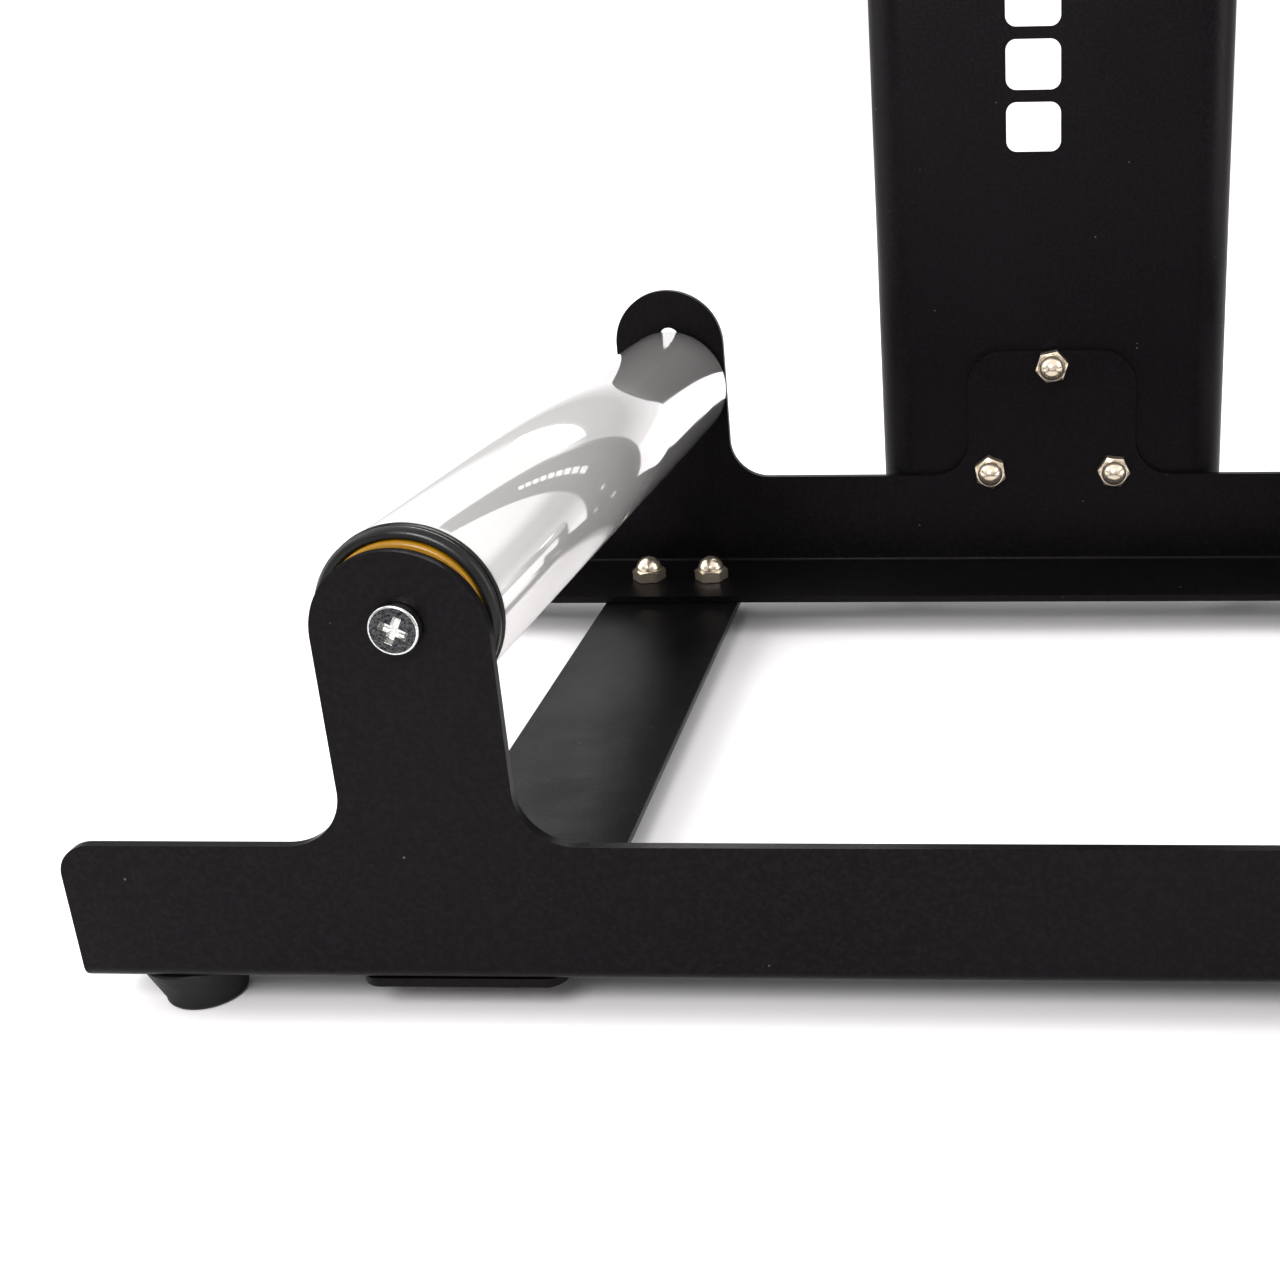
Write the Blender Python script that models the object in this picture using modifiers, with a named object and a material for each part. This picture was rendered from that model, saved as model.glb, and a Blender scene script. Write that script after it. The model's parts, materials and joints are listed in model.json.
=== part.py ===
"""A low floor stand with two cross rollers and an upright post.

Two folded sheet rails lie on rubber feet and are tied by two flat crossbars. Each pair of ears on
the rails carries a roller, and the far rail has a central tab that a folded post is bolted to.
X runs along the rails, Y from the near rail to the post, and Z up from the floor. Metres.
"""
import math

import bmesh
import bpy
from mathutils import Matrix, Vector

# Driving dimensions
GAP = 0.0003                # left between pieces that touch
SHEET = 0.003               # thickness of every folded or flat sheet
FRONT_Y = -0.19806          # outer face of the near rail
RAIL_SPAN = 0.355           # outer face to outer face of the two rails
RAIL_LENGTH = 0.560
RAIL_BASE = 0.015           # underside of the rails above the floor
WEB_HEIGHT = 0.044
FLANGE_WIDTH = 0.051
RAIL_BEND = 0.0045          # outer radius of the fold between web and flange
END_CORNER = 0.0095
FOOT_CORNER = 0.002
EAR_X = 0.1725              # ears at plus and minus this
EAR_RADIUS = 0.0242
EAR_ARC_HEIGHT = 0.1064     # centre of the ear's round top above the rail's underside
AXLE_HEIGHT = 0.1097        # roller axis above the rail's underside
FILLET = 0.017
HOLE_RADIUS = 0.0044        # clearance hole for an M8 screw
TAB_HALF_WIDTH = 0.038
TAB_HEIGHT = 0.1018
TAB_CORNER = 0.016
POST_HALF_WIDTH = 0.0785
POST_DEPTH = 0.045
POST_BEND = 0.016           # outer radius of the post's two folds
POST_BASE = 0.004           # lower end of the post above the rails' underside
POST_HEIGHT = 0.780         # upper end of the post above the rails' underside
CAP_PLUG = 0.010            # how far the post cap reaches into the post
BOLT_SPACING = 0.0565       # side of the triangle of post bolts
LOW_BOLT_HEIGHT = 0.0465    # lower post bolts above the rails' underside
CROSSBAR_X = 0.171
CROSSBAR_WIDTH = 0.060
CROSSBAR_INSET = 0.0023     # from the rails' outer faces to the crossbar's ends
CROSSBAR_CORNER = 0.006
FLANGE_BOLT_PITCH = 0.0288
FLANGE_BOLT_INSET = 0.028   # from a rail's outer face to the bolts in its flange
FOOT_X = 0.255
FOOT_INSET = 0.018
FOOT_TOP_RADIUS = 0.0165
FOOT_LOW_RADIUS = 0.0114
TILT = math.radians(3.6)    # droop of the left roller, which its far ear doesn't hold
TUBE_RADIUS = 0.025
TUBE_WALL = 0.0015
NEAR_TUBE_END = 0.0085      # tube ends, from the inner faces of the near and far ears
FAR_TUBE_END = 0.003
AXLE_RADIUS = 0.006
AXLE_PLAY = 0.0008          # between an axle's end and its ear
AXLE_BORE_DEPTH = 0.020
NUT_FLATS = 0.013
NUT_CROWN = 0.0061          # radius of a nut's flat top, where its corners start to turn off
CORNER_SLOPE = math.tan(math.radians(30))
FLANGE_NUT_TURN = -20       # degrees
POST_NUT_TURNS = (8, 25, 42)
NUT_HEX_HEIGHT = 0.005
NUT_HEIGHT = 0.0105
DOME_RADIUS = 0.0057
THREAD_RADIUS = 0.004       # M8
THREAD_BORE = 0.0043
BOLT_HEAD_HEIGHT = 0.005
SCREW_HEAD_RADIUS = 0.0069
SCREW_HEAD_HEIGHT = 0.003
SCREW_REACH = 0.019         # shank length of an axle screw
SCREW_ROUNDING = 0.0007
POINT = 0.0006              # chamfer at the end of a thread
RECESS_TURNS = (25, 115)    # degrees, the two bars of a cross recess
RECESS_LENGTH = 0.0098
RECESS_WIDTH = 0.0028
RECESS_DEPTH = 0.0018
RECESS_TAPER = 0.6          # size at the bottom of a recess over its size outside
FOOT_HOLE = 0.0033          # clearance hole for an M6 screw
FOOT_RECESS = 0.006         # radius and depth of the screw's recess
FOOT_SCREW_HEAD = 0.0035
FOOT_SCREW_OVERRUN = 0.002  # above the flange
CHAMFER = 0.001
DISC_RADIUS = 0.0218        # the wide end cap where it shows inside the ring
CAP_START = 0.0019          # cap and ring, from the near ear's inner face
CAP_WALL = 0.0031
CAP_REACH = 0.016           # length of a cap's plug inside the tube
CAP_LIP = 0.002             # how far the far cap's face stands from its shoulder
EYE_CLEARANCE = 0.002       # between an axle and the hole in a cap
RING_START = 0.0026
RING_RIM = 0.0254           # radius of the ring's thin rim beside the tube
RING_RIM_WIDTH = 0.0009
RING_GROOVE = 0.0247
BEAD_RADIUS = 0.0022        # half the width of the ring's fat bead
BEAD_CENTRE = 0.0230        # radius at which the bead's own centre runs
BEARING_RADIUS = 0.014
BEARING_WIDTH = 0.008
RACE = 0.0025               # thickness of a bearing's inner and outer race
SHIELD_DEPTH = 0.001

ROUND_STEPS = 28            # round the feet, axles and bearings
TRIM_STEPS = 24             # round the chamfer on a nut
SMALL_STEPS = 18            # round holes and threads
ROLLER_STEPS = 48           # round the rollers
ARC_STEPS = 6               # along a corner's arc
BEAD_STEPS = 5              # across the ring's bead

EAR_SPAN = RAIL_SPAN - 2 * SHEET                 # between the inner faces of two ears
NEAR_EAR = SHEET / 2                             # from a roller's pivot to that inner face
FLANGE_TOP = RAIL_BASE + SHEET
CROSSBAR_TOP = RAIL_BASE - GAP
POST_FACE_Y = FRONT_Y + RAIL_SPAN + GAP          # front face of the post
TRIANGLE_HEIGHT = BOLT_SPACING * math.sqrt(3) / 2

COLOURS = {                 # red, green, blue, metallic, roughness
    "black_powder_coat": (0.022, 0.022, 0.025, 0.0, 0.42),
    "chromed_tube": (0.86, 0.86, 0.87, 1.0, 0.06),
    "nickel_fastener": (0.80, 0.77, 0.72, 1.0, 0.16),
    "bright_zinc": (0.78, 0.79, 0.80, 1.0, 0.28),
    "amber_cap": (0.80, 0.47, 0.03, 0.0, 0.35),
    "black_ring": (0.018, 0.018, 0.018, 0.0, 0.30),
    "bearing_steel": (0.55, 0.55, 0.56, 1.0, 0.25),
    "rubber_foot": (0.020, 0.020, 0.022, 0.0, 0.75),
}


def clear_scene():
    for item in list(bpy.data.objects):
        bpy.data.objects.remove(item)


def new_collection(name, hidden):
    collection = bpy.data.collections.new(name)
    collection.hide_render = hidden
    bpy.context.scene.collection.children.link(collection)
    return collection


def material(name):
    if name in bpy.data.materials:
        return bpy.data.materials[name]
    red, green, blue, metallic, roughness = COLOURS[name]
    made = bpy.data.materials.new(name)
    made.use_nodes = True
    shader = made.node_tree.nodes["Principled BSDF"]
    shader.inputs["Base Color"].default_value = (red, green, blue, 1.0)
    shader.inputs["Metallic"].default_value = metallic
    shader.inputs["Roughness"].default_value = roughness
    made.diffuse_color = (red, green, blue, 1.0)
    return made


def place(name, mesh, colour, parent=None):
    """A named sub-part from a mesh that is already in its parent's frame."""
    part = bpy.data.objects.new(name, mesh)
    PARTS.objects.link(part)
    part.parent = parent
    mesh.materials.clear()
    mesh.materials.append(material(colour))
    return part


def helper(name, mesh):
    """A hidden solid that a Boolean modifier reads."""
    cutter = bpy.data.objects.new(name, mesh)
    CUTTERS.objects.link(cutter)
    cutter.hide_render = True
    cutter.display_type = "WIRE"
    return cutter


def boolean(target, cutter, operation):
    modifier = target.modifiers.new(operation.title(), "BOOLEAN")
    modifier.operation = operation
    modifier.solver = "EXACT"
    modifier.object = cutter


def frozen(source):
    """The evaluated mesh of a scene object, which is then removed."""
    bpy.context.view_layer.update()
    shaped = source.evaluated_get(bpy.context.evaluated_depsgraph_get())
    mesh = bpy.data.meshes.new_from_object(shaped)
    mesh.transform(source.matrix_world)
    bpy.data.objects.remove(source)
    return mesh


def arc(centre, radius, start, end, steps=ARC_STEPS):
    """Points along an arc, both ends included; angles in degrees."""
    points = []
    for step in range(steps + 1):
        angle = math.radians(start + (end - start) * step / steps)
        points.append((centre[0] + radius * math.cos(angle), centre[1] + radius * math.sin(angle)))
    return points


def plate(outline, thickness, matrix):
    """A flat outline, extruded both ways from its own XY plane and then moved by matrix."""
    curve = bpy.data.curves.new("outline", "CURVE")
    curve.dimensions = "2D"
    curve.fill_mode = "BOTH"
    curve.extrude = thickness / 2
    spline = curve.splines.new("POLY")
    spline.points.add(len(outline) - 1)
    for point, (across, along) in zip(spline.points, outline):
        point.co = (across, along, 0.0, 1.0)
    spline.use_cyclic_u = True
    shape = bpy.data.objects.new("outline", curve)
    CUTTERS.objects.link(shape)
    mesh = frozen(shape)
    bpy.data.curves.remove(curve)
    weld(mesh)
    mesh.transform(matrix)
    return mesh


def weld(mesh):
    work = bmesh.new()
    work.from_mesh(mesh)
    bmesh.ops.remove_doubles(work, verts=work.verts, dist=0.000001)
    bmesh.ops.recalc_face_normals(work, faces=work.faces)
    work.to_mesh(mesh)
    work.free()


def turned(profile, steps=ROUND_STEPS):
    """A turned solid about Z from (radius, height) points, down the outer side first."""
    mesh = bpy.data.meshes.new("profile")
    work = bmesh.new()
    rim = [work.verts.new((radius, 0.0, height)) for radius, height in profile]
    for first, second in zip(rim, rim[1:]):
        work.edges.new((first, second))
    if profile[0][0] > 0.0:
        work.edges.new((rim[-1], rim[0]))
    work.to_mesh(mesh)
    work.free()
    source = bpy.data.objects.new("profile", mesh)
    CUTTERS.objects.link(source)
    screw = source.modifiers.new("Screw", "SCREW")
    screw.steps = steps
    screw.render_steps = steps
    screw.use_merge_vertices = True
    screw.merge_threshold = 0.000001
    screw.use_smooth_shade = False
    solid = frozen(source)
    weld(solid)
    return solid


def cylinders(places, radius, length, axis, steps=SMALL_STEPS):
    """Cylinders of one size centred on the places, all along one axis letter."""
    turn = {"Z": Matrix(), "Y": Matrix.Rotation(math.pi / 2, 4, "X")}[axis]
    mesh = bpy.data.meshes.new("cylinders")
    work = bmesh.new()
    for spot in places:
        bmesh.ops.create_cone(work, cap_ends=True, segments=steps, radius1=radius, radius2=radius,
                              depth=length, matrix=Matrix.Translation(spot) @ turn)
    work.to_mesh(mesh)
    work.free()
    return mesh


def upright(thickness_centre):
    """Turns an outline's second coordinate up Z and puts its mid-plane at this Y."""
    return Matrix.Translation((0.0, thickness_centre, 0.0)) @ Matrix.Rotation(math.pi / 2, 4, "X")


def rail_outline(has_tab):
    """The front view of a rail, from its underside, anticlockwise."""
    end = RAIL_LENGTH / 2
    step = WEB_HEIGHT + FILLET
    right = arc((end - FOOT_CORNER, FOOT_CORNER), FOOT_CORNER, -90, 0)
    right += arc((end - END_CORNER, WEB_HEIGHT - END_CORNER), END_CORNER, 0, 90)
    right += arc((EAR_X + EAR_RADIUS + FILLET, step), FILLET, -90, -180)
    right += arc((EAR_X, EAR_ARC_HEIGHT), EAR_RADIUS, 0, 180, 4 * ARC_STEPS)
    right += arc((EAR_X - EAR_RADIUS - FILLET, step), FILLET, 0, -90)
    if has_tab:
        right += arc((TAB_HALF_WIDTH + FILLET, step), FILLET, -90, -180)
        right += arc((TAB_HALF_WIDTH - TAB_CORNER, TAB_HEIGHT - TAB_CORNER), TAB_CORNER, 0, 90)
    left = [(-across, height) for across, height in reversed(right)]
    return right + left


def angle_outline():
    """The section of a rail's web and flange, its outer face at 0, tall enough for the ears."""
    top = EAR_ARC_HEIGHT + 2 * EAR_RADIUS
    bend = (RAIL_BEND, RAIL_BEND)
    section = [(0.0, top)]
    section += arc(bend, RAIL_BEND, 180, 270)
    section += [(FLANGE_WIDTH, 0.0), (FLANGE_WIDTH, SHEET)]
    section += arc(bend, RAIL_BEND - SHEET, 270, 180)
    section += [(SHEET, top)]
    return section


def rail_holes(face_y, inward):
    """Cutters for a rail's ear, crossbar and foot holes; inward is +1 on the near rail."""
    ears = [(side * EAR_X, face_y, RAIL_BASE + AXLE_HEIGHT) for side in (-1, 1)]
    feet = [(side * FOOT_X, face_y + inward * FOOT_INSET, RAIL_BASE) for side in (-1, 1)]
    bolts = flange_bolt_places(face_y + inward * FLANGE_BOLT_INSET, RAIL_BASE)
    reach = 4 * RAIL_BEND
    return [
        cylinders(ears, HOLE_RADIUS, reach, "Y"),
        cylinders(feet, FOOT_HOLE, reach, "Z"),
        cylinders(bolts, HOLE_RADIUS, reach, "Z"),
    ]


def flange_bolt_places(at_y, at_z):
    places = []
    for side in (-1, 1):
        for shift in (-0.5, 0.5):
            places.append((side * CROSSBAR_X + shift * FLANGE_BOLT_PITCH, at_y, at_z))
    return places


def post_bolt_places(at_y):
    low = RAIL_BASE + LOW_BOLT_HEIGHT
    half = BOLT_SPACING / 2
    return [(-half, at_y, low), (half, at_y, low), (0.0, at_y, low + TRIANGLE_HEIGHT)]


def build_rail(name, face_y, inward, has_tab):
    """A folded rail: its L section, trimmed to the front view and drilled."""
    along_x = Matrix(((0, 0, 1, 0), (inward, 0, 0, face_y), (0, 1, 0, RAIL_BASE), (0, 0, 0, 1)))
    section = plate(angle_outline(), RAIL_LENGTH + 2 * SHEET, along_x)
    weld(section)           # the far rail's matrix mirrors, which turns its faces inside out
    rail = place(name, section, "black_powder_coat")
    lift = Matrix.Translation((0.0, 0.0, RAIL_BASE))
    middle = face_y + inward * FLANGE_WIDTH / 2
    front = plate(rail_outline(has_tab), FLANGE_WIDTH + 2 * SHEET, lift @ upright(middle))
    boolean(rail, helper(name + "_outline", front), "INTERSECT")
    for number, holes in enumerate(rail_holes(face_y, inward)):
        boolean(rail, helper(f"{name}_holes_{number}", holes), "DIFFERENCE")
    if has_tab:
        bolts = cylinders(post_bolt_places(face_y), HOLE_RADIUS, 4 * SHEET, "Y")
        boolean(rail, helper(name + "_tab_holes", bolts), "DIFFERENCE")


def rounded_rectangle(half_width, half_length, corner):
    inner_x = half_width - corner
    inner_y = half_length - corner
    outline = arc((inner_x, inner_y), corner, 0, 90)
    outline += arc((-inner_x, inner_y), corner, 90, 180)
    outline += arc((-inner_x, -inner_y), corner, 180, 270)
    outline += arc((inner_x, -inner_y), corner, 270, 360)
    return outline


def build_crossbar(name, at_x):
    """A flat bar under both flanges, with two bolt holes at each end."""
    middle = Vector((at_x, FRONT_Y + RAIL_SPAN / 2, CROSSBAR_TOP - SHEET / 2))
    half_length = RAIL_SPAN / 2 - CROSSBAR_INSET
    outline = rounded_rectangle(CROSSBAR_WIDTH / 2, half_length, CROSSBAR_CORNER)
    bar = place(name, plate(outline, SHEET, Matrix.Translation(middle)), "black_powder_coat")
    places = []
    for inset in (-1, 1):
        for shift in (-0.5, 0.5):
            along = inset * (RAIL_SPAN / 2 - FLANGE_BOLT_INSET)
            places.append(middle + Vector((shift * FLANGE_BOLT_PITCH, along, 0.0)))
    holes = cylinders(places, HOLE_RADIUS, 4 * SHEET, "Z")
    boolean(bar, helper(name + "_holes", holes), "DIFFERENCE")


def channel_outline():
    """The plan of the post: a front sheet folded back at both sides, front face at 0."""
    right = arc((POST_HALF_WIDTH - POST_BEND, POST_BEND), POST_BEND, -90, 0)
    right += [(POST_HALF_WIDTH, POST_DEPTH), (POST_HALF_WIDTH - SHEET, POST_DEPTH)]
    right += arc((POST_HALF_WIDTH - POST_BEND, POST_BEND), POST_BEND - SHEET, 0, -90)
    left = [(-across, along) for across, along in reversed(right)]
    return right + left


def build_post():
    middle = RAIL_BASE + (POST_BASE + POST_HEIGHT) / 2
    centre = Matrix.Translation((0.0, POST_FACE_Y, middle))
    sheet = plate(channel_outline(), POST_HEIGHT - POST_BASE, centre)
    post = place("post", sheet, "black_powder_coat")
    holes = cylinders(post_bolt_places(POST_FACE_Y), HOLE_RADIUS, 4 * SHEET, "Y")
    boolean(post, helper("post_holes", holes), "DIFFERENCE")


def cap_outline(inset):
    """The post's closed plan, drawn in by an inset."""
    half = POST_HALF_WIDTH - inset
    bend = POST_BEND - inset
    right = arc((POST_HALF_WIDTH - POST_BEND, POST_BEND), bend, -90, 0)
    right += [(half, POST_DEPTH)]
    return right + [(-across, along) for across, along in reversed(right)]


def build_post_cap():
    """A flat lid with a plug that sits inside the post's upper end."""
    top = RAIL_BASE + POST_HEIGHT + GAP
    lid_place = Matrix.Translation((0.0, POST_FACE_Y, top + SHEET / 2))
    plug_place = Matrix.Translation((0.0, POST_FACE_Y, top - CAP_PLUG / 2 + SHEET / 4))
    cap = place("post_cap", plate(cap_outline(0.0), SHEET, lid_place), "black_powder_coat")
    plug = plate(cap_outline(SHEET + GAP), CAP_PLUG + SHEET / 2, plug_place)
    boolean(cap, helper("post_cap_plug", plug), "UNION")
    hollow_place = Matrix.Translation((0.0, POST_FACE_Y, top - CAP_PLUG / 2 - SHEET))
    hollow = plate(cap_outline(2 * SHEET + GAP), CAP_PLUG, hollow_place)
    boolean(cap, helper("post_cap_hollow", hollow), "DIFFERENCE")


def hexagon(height, base):
    mesh = bpy.data.meshes.new("hexagon")
    work = bmesh.new()
    corner = NUT_FLATS / math.sqrt(3)
    bmesh.ops.create_cone(work, cap_ends=True, segments=6, radius1=corner, radius2=corner,
                          depth=height, matrix=Matrix.Translation((0.0, 0.0, base + height / 2)))
    work.to_mesh(mesh)
    work.free()
    return mesh


def chamfered_hexagon(height, base):
    """A hexagon along Z whose upper corners are turned off at 30 degrees."""
    corner = NUT_FLATS / math.sqrt(3)
    drop = (corner - NUT_CROWN) * CORNER_SLOPE
    top = base + height
    block = bpy.data.objects.new("block", hexagon(height, base))
    CUTTERS.objects.link(block)
    envelope = [(0.0, top), (NUT_CROWN, top), (corner, top - drop), (corner, base), (0.0, base)]
    trim = helper("trim", turned(envelope, TRIM_STEPS))
    boolean(block, trim, "INTERSECT")
    mesh = frozen(block)
    bpy.data.objects.remove(trim)
    return mesh


def acorn_nut():
    """A domed nut that stands on Z = 0 with a blind bore from below."""
    nut = bpy.data.objects.new("nut", chamfered_hexagon(NUT_HEX_HEIGHT, 0.0))
    CUTTERS.objects.link(nut)
    shoulder = NUT_HEX_HEIGHT - CHAMFER
    rise = NUT_HEIGHT - NUT_HEX_HEIGHT
    quarter = arc((0.0, 0.0), 1.0, 90, 0)
    dome = [(DOME_RADIUS * abs(across), NUT_HEX_HEIGHT + rise * up) for across, up in quarter]
    dome[0] = (0.0, NUT_HEIGHT)
    dome += [(DOME_RADIUS, shoulder), (0.0, shoulder)]
    cap = helper("dome", turned(dome, SMALL_STEPS))
    bore_depth = NUT_HEX_HEIGHT + rise / 2
    bore = helper("bore", cylinders([(0.0, 0.0, 0.0)], THREAD_BORE, 2 * bore_depth, "Z"))
    boolean(nut, cap, "UNION")
    boolean(nut, bore, "DIFFERENCE")
    mesh = frozen(nut)
    bpy.data.objects.remove(cap)
    bpy.data.objects.remove(bore)
    return mesh


def hex_bolt(shank):
    """A bolt whose head hangs below Z = 0 and whose shank stands up to this height."""
    bolt = bpy.data.objects.new("bolt", hexagon(BOLT_HEAD_HEIGHT, -BOLT_HEAD_HEIGHT))
    CUTTERS.objects.link(bolt)
    overlap = BOLT_HEAD_HEIGHT / 2
    stem = [(0.0, shank), (THREAD_RADIUS - POINT, shank), (THREAD_RADIUS, shank - POINT)]
    stem += [(THREAD_RADIUS, -overlap), (0.0, -overlap)]
    stem_solid = helper("stem", turned(stem, SMALL_STEPS))
    boolean(bolt, stem_solid, "UNION")
    mesh = frozen(bolt)
    bpy.data.objects.remove(stem_solid)
    return mesh


def build_fasteners():
    """Acorn nuts and bolts through the flanges and through the post's tab."""
    nut = acorn_nut()
    grip = 2 * SHEET + 3 * GAP
    bolt = hex_bolt(grip + NUT_HEX_HEIGHT)
    rows = {"near": FRONT_Y + FLANGE_BOLT_INSET, "far": FRONT_Y + RAIL_SPAN - FLANGE_BOLT_INSET}
    for row, at_y in rows.items():
        for number, spot in enumerate(flange_bolt_places(at_y, 0.0)):
            turn = Matrix.Rotation(math.radians(FLANGE_NUT_TURN), 4, "Z")
            top = Matrix.Translation(Vector(spot) + Vector((0.0, 0.0, FLANGE_TOP + GAP)))
            under = Matrix.Translation(Vector(spot) + Vector((0.0, 0.0, CROSSBAR_TOP - SHEET - GAP)))
            add_copy(f"{row}_flange_nut_{number + 1}", nut, top @ turn)
            add_copy(f"{row}_flange_bolt_{number + 1}", bolt, under @ turn)
    forward = Matrix.Rotation(math.pi / 2, 4, "X")
    tab_face = FRONT_Y + RAIL_SPAN - SHEET
    for number, spot in enumerate(post_bolt_places(0.0)):
        turn = Matrix.Rotation(math.radians(POST_NUT_TURNS[number]), 4, "Z")
        front = Matrix.Translation(Vector(spot) + Vector((0.0, tab_face - GAP, 0.0)))
        behind = Matrix.Translation(Vector(spot) + Vector((0.0, POST_FACE_Y + SHEET + GAP, 0.0)))
        add_copy(f"post_nut_{number + 1}", nut, front @ forward @ turn)
        add_copy(f"post_bolt_{number + 1}", bolt, behind @ forward @ turn)


def add_copy(name, mesh, matrix):
    part = place(name, mesh.copy(), "nickel_fastener")
    part.matrix_world = matrix


def build_foot(name, spot):
    """A rubber cone with a recess for its screw, and the screw up through the flange."""
    top = RAIL_BASE - GAP
    recess = FOOT_RECESS
    outer = [(FOOT_TOP_RADIUS, top), (FOOT_LOW_RADIUS, CHAMFER), (FOOT_LOW_RADIUS - CHAMFER, 0.0)]
    inner = [(recess, 0.0), (recess, recess), (FOOT_HOLE, recess), (FOOT_HOLE, top)]
    foot = place(name, turned(outer + inner), "rubber_foot")
    foot.location = spot
    head_top = recess - GAP
    head_low = head_top - FOOT_SCREW_HEAD
    shank_top = FLANGE_TOP + FOOT_SCREW_OVERRUN
    shank = FOOT_HOLE - GAP
    head = recess - CHAMFER
    stud = [(0.0, shank_top), (shank, shank_top), (shank, head_top), (head, head_top)]
    stud += [(head, head_low + CHAMFER), (head - CHAMFER, head_low), (0.0, head_low)]
    screw = place(name + "_screw", turned(stud, SMALL_STEPS), "bright_zinc")
    screw.location = spot


def build_feet():
    rows = {"near": FRONT_Y + FOOT_INSET, "far": FRONT_Y + RAIL_SPAN - FOOT_INSET}
    for row, at_y in rows.items():
        build_foot(f"{row}_left_foot", (-FOOT_X, at_y, 0.0))
        build_foot(f"{row}_right_foot", (FOOT_X, at_y, 0.0))


def along_axle(start, turn_round=False):
    """Lays a turned solid's Z along an axle's Y, with its zero at this distance from the pivot."""
    lay = Matrix.Rotation(math.pi / 2 if turn_round else -math.pi / 2, 4, "X")
    return Matrix.Translation((0.0, start, 0.0)) @ lay


def build_tube(side, pivot):
    start = NEAR_EAR + NEAR_TUBE_END
    length = EAR_SPAN - NEAR_TUBE_END - FAR_TUBE_END
    inner = TUBE_RADIUS - TUBE_WALL
    profile = [(TUBE_RADIUS, length), (TUBE_RADIUS, 0.0), (inner, 0.0), (inner, length)]
    tube = turned(profile, ROLLER_STEPS)
    tube.transform(along_axle(start))
    place(side + "_roller_tube", tube, "chromed_tube", pivot)


def build_end_cap(name, pivot, wide, start, turn_round):
    """A moulded cap that seats a bearing; the wide one stands out of the tube inside its ring."""
    hub = TUBE_RADIUS - TUBE_WALL - GAP
    disc = DISC_RADIUS if wide else hub
    shoulder = NEAR_TUBE_END + GAP - CAP_START if wide else CAP_LIP
    bearing_seat = BEARING_RADIUS + GAP
    hub_end = shoulder + CAP_REACH
    eye = AXLE_RADIUS + EYE_CLEARANCE
    profile = [(hub, hub_end), (hub, shoulder), (disc, shoulder), (disc, CHAMFER), (disc - CHAMFER, 0.0)]
    profile += [(eye, 0.0), (eye, CAP_WALL), (bearing_seat, CAP_WALL), (bearing_seat, hub_end)]
    cap = turned(profile, ROLLER_STEPS)
    cap.transform(along_axle(start, turn_round))
    place(name, cap, "amber_cap", pivot)


def build_bearing(name, pivot, start, turn_round):
    bore = AXLE_RADIUS + GAP
    inner_race = AXLE_RADIUS + RACE
    outer_race = BEARING_RADIUS - RACE
    groove = SHIELD_DEPTH
    far = BEARING_WIDTH
    profile = [(BEARING_RADIUS, far), (BEARING_RADIUS, 0.0), (outer_race, 0.0), (outer_race, groove)]
    profile += [(inner_race, groove), (inner_race, 0.0), (bore, 0.0), (bore, far)]
    profile += [(inner_race, far), (inner_race, far - groove), (outer_race, far - groove), (outer_race, far)]
    bearing = turned(profile)
    bearing.transform(along_axle(start, turn_round))
    place(name, bearing, "bearing_steel", pivot)


def build_ring(side, pivot):
    """The rubber ring at the roller's near end: a fat bead, a groove and a thin rim."""
    inner = DISC_RADIUS + GAP
    width = NEAR_TUBE_END - GAP - RING_START
    rim_start = width - RING_RIM_WIDTH
    profile = [(RING_RIM - GAP, width), (RING_RIM, width - GAP), (RING_RIM, rim_start)]
    profile += [(RING_GROOVE, rim_start - GAP)]
    profile += arc((BEAD_CENTRE, BEAD_RADIUS), BEAD_RADIUS, 80, -90, BEAD_STEPS)
    profile += [(inner, 0.0), (inner, width)]
    ring = turned(profile, ROLLER_STEPS)
    ring.transform(along_axle(NEAR_EAR + RING_START))
    place(side + "_roller_ring", ring, "black_ring", pivot)


def build_axle(side, pivot):
    """A round axle with a blind threaded hole in each end."""
    length = EAR_SPAN - 2 * AXLE_PLAY
    edge = POINT
    deep = AXLE_BORE_DEPTH
    profile = [(THREAD_BORE, length), (AXLE_RADIUS - edge, length), (AXLE_RADIUS, length - edge)]
    profile += [(AXLE_RADIUS, edge), (AXLE_RADIUS - edge, 0.0), (THREAD_BORE, 0.0), (THREAD_BORE, deep)]
    profile = [(0.0, length - deep), (THREAD_BORE, length - deep)] + profile + [(0.0, deep)]
    axle = turned(profile)
    axle.transform(along_axle(NEAR_EAR + AXLE_PLAY))
    place(side + "_axle", axle, "bright_zinc", pivot)


def tapered_bar(turn, face):
    """One arm pair of a cross recess, narrower as it goes in from the face."""
    mesh = bpy.data.meshes.new("bar")
    work = bmesh.new()
    size = Matrix.Diagonal((RECESS_LENGTH, RECESS_WIDTH, 2 * RECESS_DEPTH, 1.0))
    shape = Matrix.Rotation(math.radians(turn), 4, "Z") @ size
    bmesh.ops.create_cube(work, size=1.0, matrix=Matrix.Translation((0.0, 0.0, face)) @ shape)
    for corner in work.verts:
        if corner.co.z > face:
            corner.co.x *= RECESS_TAPER
            corner.co.y *= RECESS_TAPER
    work.to_mesh(mesh)
    work.free()
    return mesh


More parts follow.
